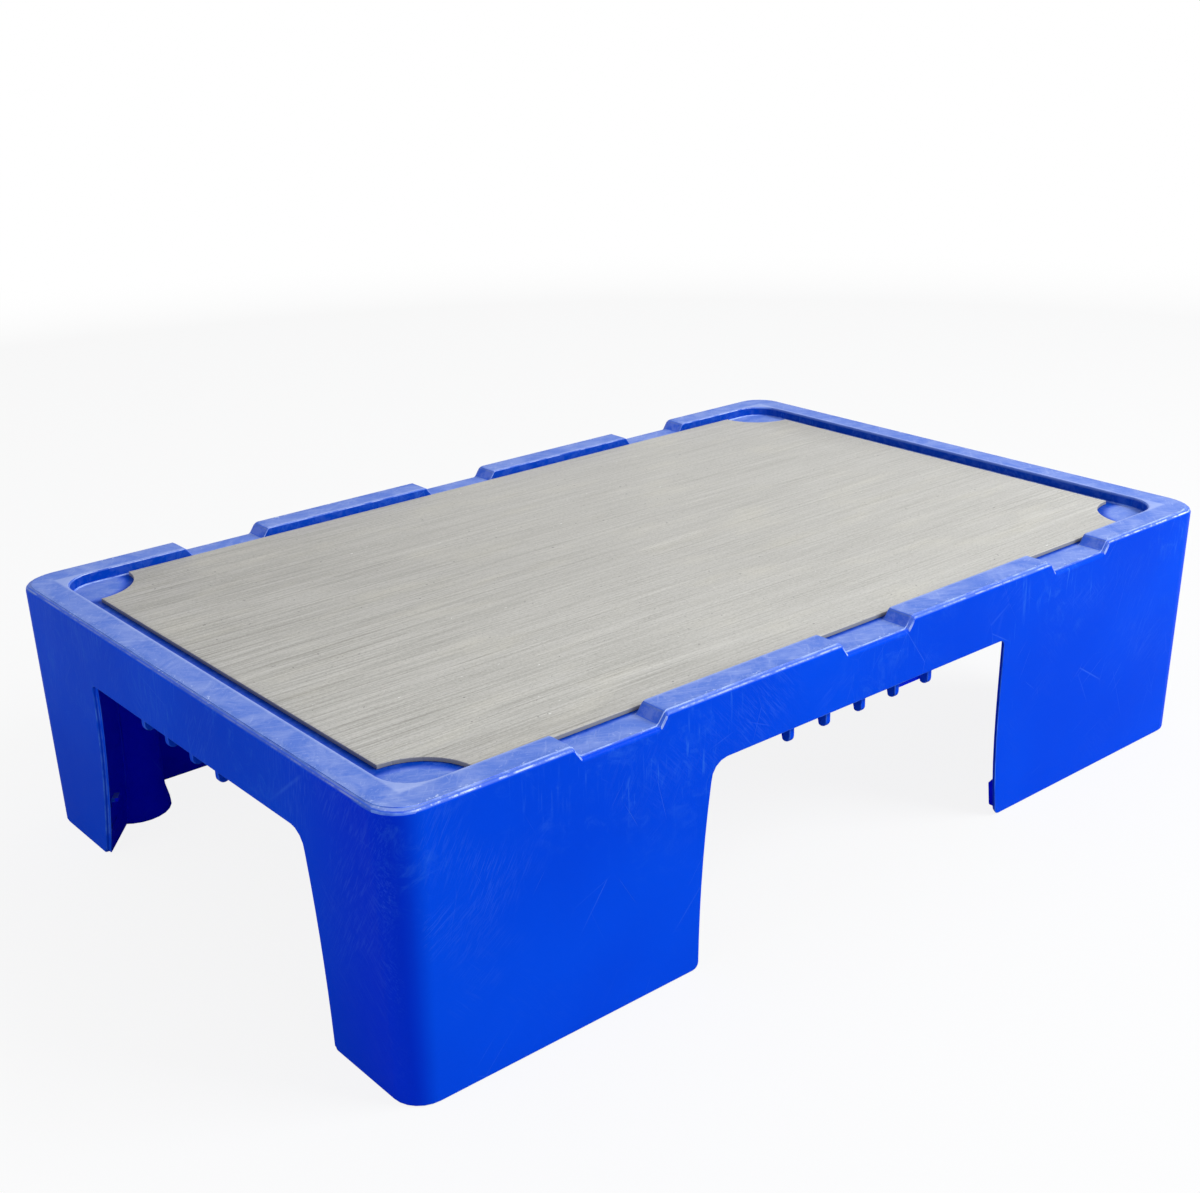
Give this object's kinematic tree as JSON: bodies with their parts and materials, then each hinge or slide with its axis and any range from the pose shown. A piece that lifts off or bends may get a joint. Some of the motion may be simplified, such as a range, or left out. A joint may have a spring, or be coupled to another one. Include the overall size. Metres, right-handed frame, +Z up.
{
  "type": "dog training platform",
  "caption": "Low one-piece moulded platform on four corner legs, with a notched rim, ribbed underside, rubber feet and a lift-out non-slip mat.",
  "frame": {"origin": "on the floor, under the middle of the platform", "axes": "+X along the long side to the right, +Y from front to rear, +Z up"},
  "size_m": [0.6998, 0.4498, 0.175],
  "materials": {
    "blue_shell": "satin moulded blue polyethylene with fine scuffs",
    "mat": "matt grey vinyl with a fine lengthwise grain",
    "rubber": "matt black rubber",
    "screw_steel": "zinc-plated steel",
    "hook_tape": "black hook tape",
    "loop_tape": "black loop tape"
  },
  "bodies": {
    "platform": {"platform_shell": "blue_shell", "rubber_foot_front_left": "rubber", "rubber_foot_front_right": "rubber", "rubber_foot_rear_left": "rubber", "rubber_foot_rear_right": "rubber", "foot_screw_front_left": "screw_steel", "foot_screw_front_right": "screw_steel", "foot_screw_rear_left": "screw_steel", "foot_screw_rear_right": "screw_steel", "hook_patch_front_left": "hook_tape", "hook_patch_front_middle": "hook_tape", "hook_patch_front_right": "hook_tape", "hook_patch_rear_left": "hook_tape", "hook_patch_rear_middle": "hook_tape", "hook_patch_rear_right": "hook_tape"},
    "mat": {"surface_mat": "mat", "loop_patch_front_left": "loop_tape", "loop_patch_front_middle": "loop_tape", "loop_patch_front_right": "loop_tape", "loop_patch_rear_left": "loop_tape", "loop_patch_rear_middle": "loop_tape", "loop_patch_rear_right": "loop_tape"}
  },
  "joints": [
    {"name": "mat_lift", "type": "slide", "parent": "platform", "child": "mat", "axis": [0, 0, 1], "range_m": [0, 0.12]}
  ]
}
